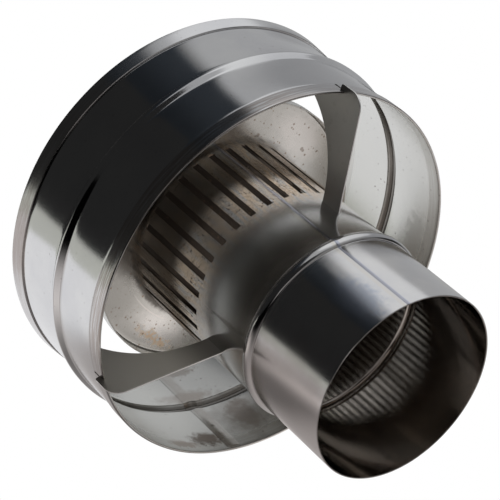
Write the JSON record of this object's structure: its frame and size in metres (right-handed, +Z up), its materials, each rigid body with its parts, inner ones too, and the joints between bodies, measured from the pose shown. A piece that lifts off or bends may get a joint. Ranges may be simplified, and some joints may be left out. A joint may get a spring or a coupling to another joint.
{
  "type": "vent rain cap",
  "caption": "Stainless flue rain cap: a slotted, beaded pipe with a flat disc over its end, held inside a wide open wind band by thin plates.",
  "frame": {"origin": "centre of the pipe's open mouth, on its end plane", "axes": "+Z up the pipe's axis from the mouth to the cap, +Y through one of the arms"},
  "size_m": [0.2528, 0.2537, 0.218],
  "materials": {
    "pipe_steel": "bright rolled stainless sheet, polished, with light heat stains",
    "band_steel": "bright rolled stainless sheet, polished",
    "cap_steel": "rolled stainless sheet, lightly speckled, with straw heat tint",
    "arm_steel": "satin stainless sheet with sheared edges"
  },
  "bodies": {
    "root": {"flue_pipe": "pipe_steel", "wind_band": "band_steel", "cap_disc": "cap_steel", "arm_1": "arm_steel", "arm_2": "arm_steel", "arm_3": "arm_steel"}
  },
  "joints": []
}
